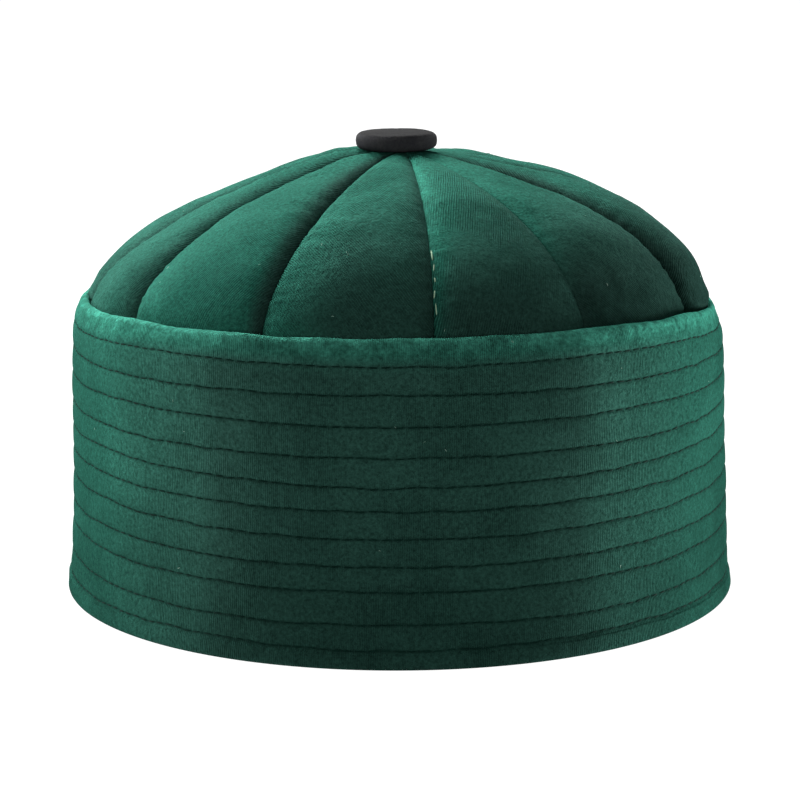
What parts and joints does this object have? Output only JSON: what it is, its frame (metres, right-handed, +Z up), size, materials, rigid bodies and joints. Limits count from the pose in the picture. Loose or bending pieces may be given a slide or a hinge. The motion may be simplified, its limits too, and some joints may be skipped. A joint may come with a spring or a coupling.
{
  "type": "kufi cap",
  "caption": "Round brimless kufi cap: upright quilted velvet band, low padded crown of wedge gores, cloth-covered button on top.",
  "frame": {"origin": "centre of the cap's rim, on the surface that the cap stands on", "axes": "+Z up through the crown to the button, -Y the front of the cap, +X to the wearer's left"},
  "size_m": [0.1976, 0.1976, 0.1337],
  "materials": {
    "velvet": "deep green cotton velvet with a short pile, padded and sewn in level rows on the band",
    "button_cloth": "matt black felted cloth over a domed button"
  },
  "bodies": {
    "root": {"band": "velvet", "gore_01": "velvet", "gore_02": "velvet", "gore_03": "velvet", "gore_04": "velvet", "gore_05": "velvet", "gore_06": "velvet", "gore_07": "velvet", "gore_08": "velvet", "gore_09": "velvet", "gore_10": "velvet", "gore_11": "velvet", "gore_12": "velvet", "button": "button_cloth"}
  },
  "joints": []
}
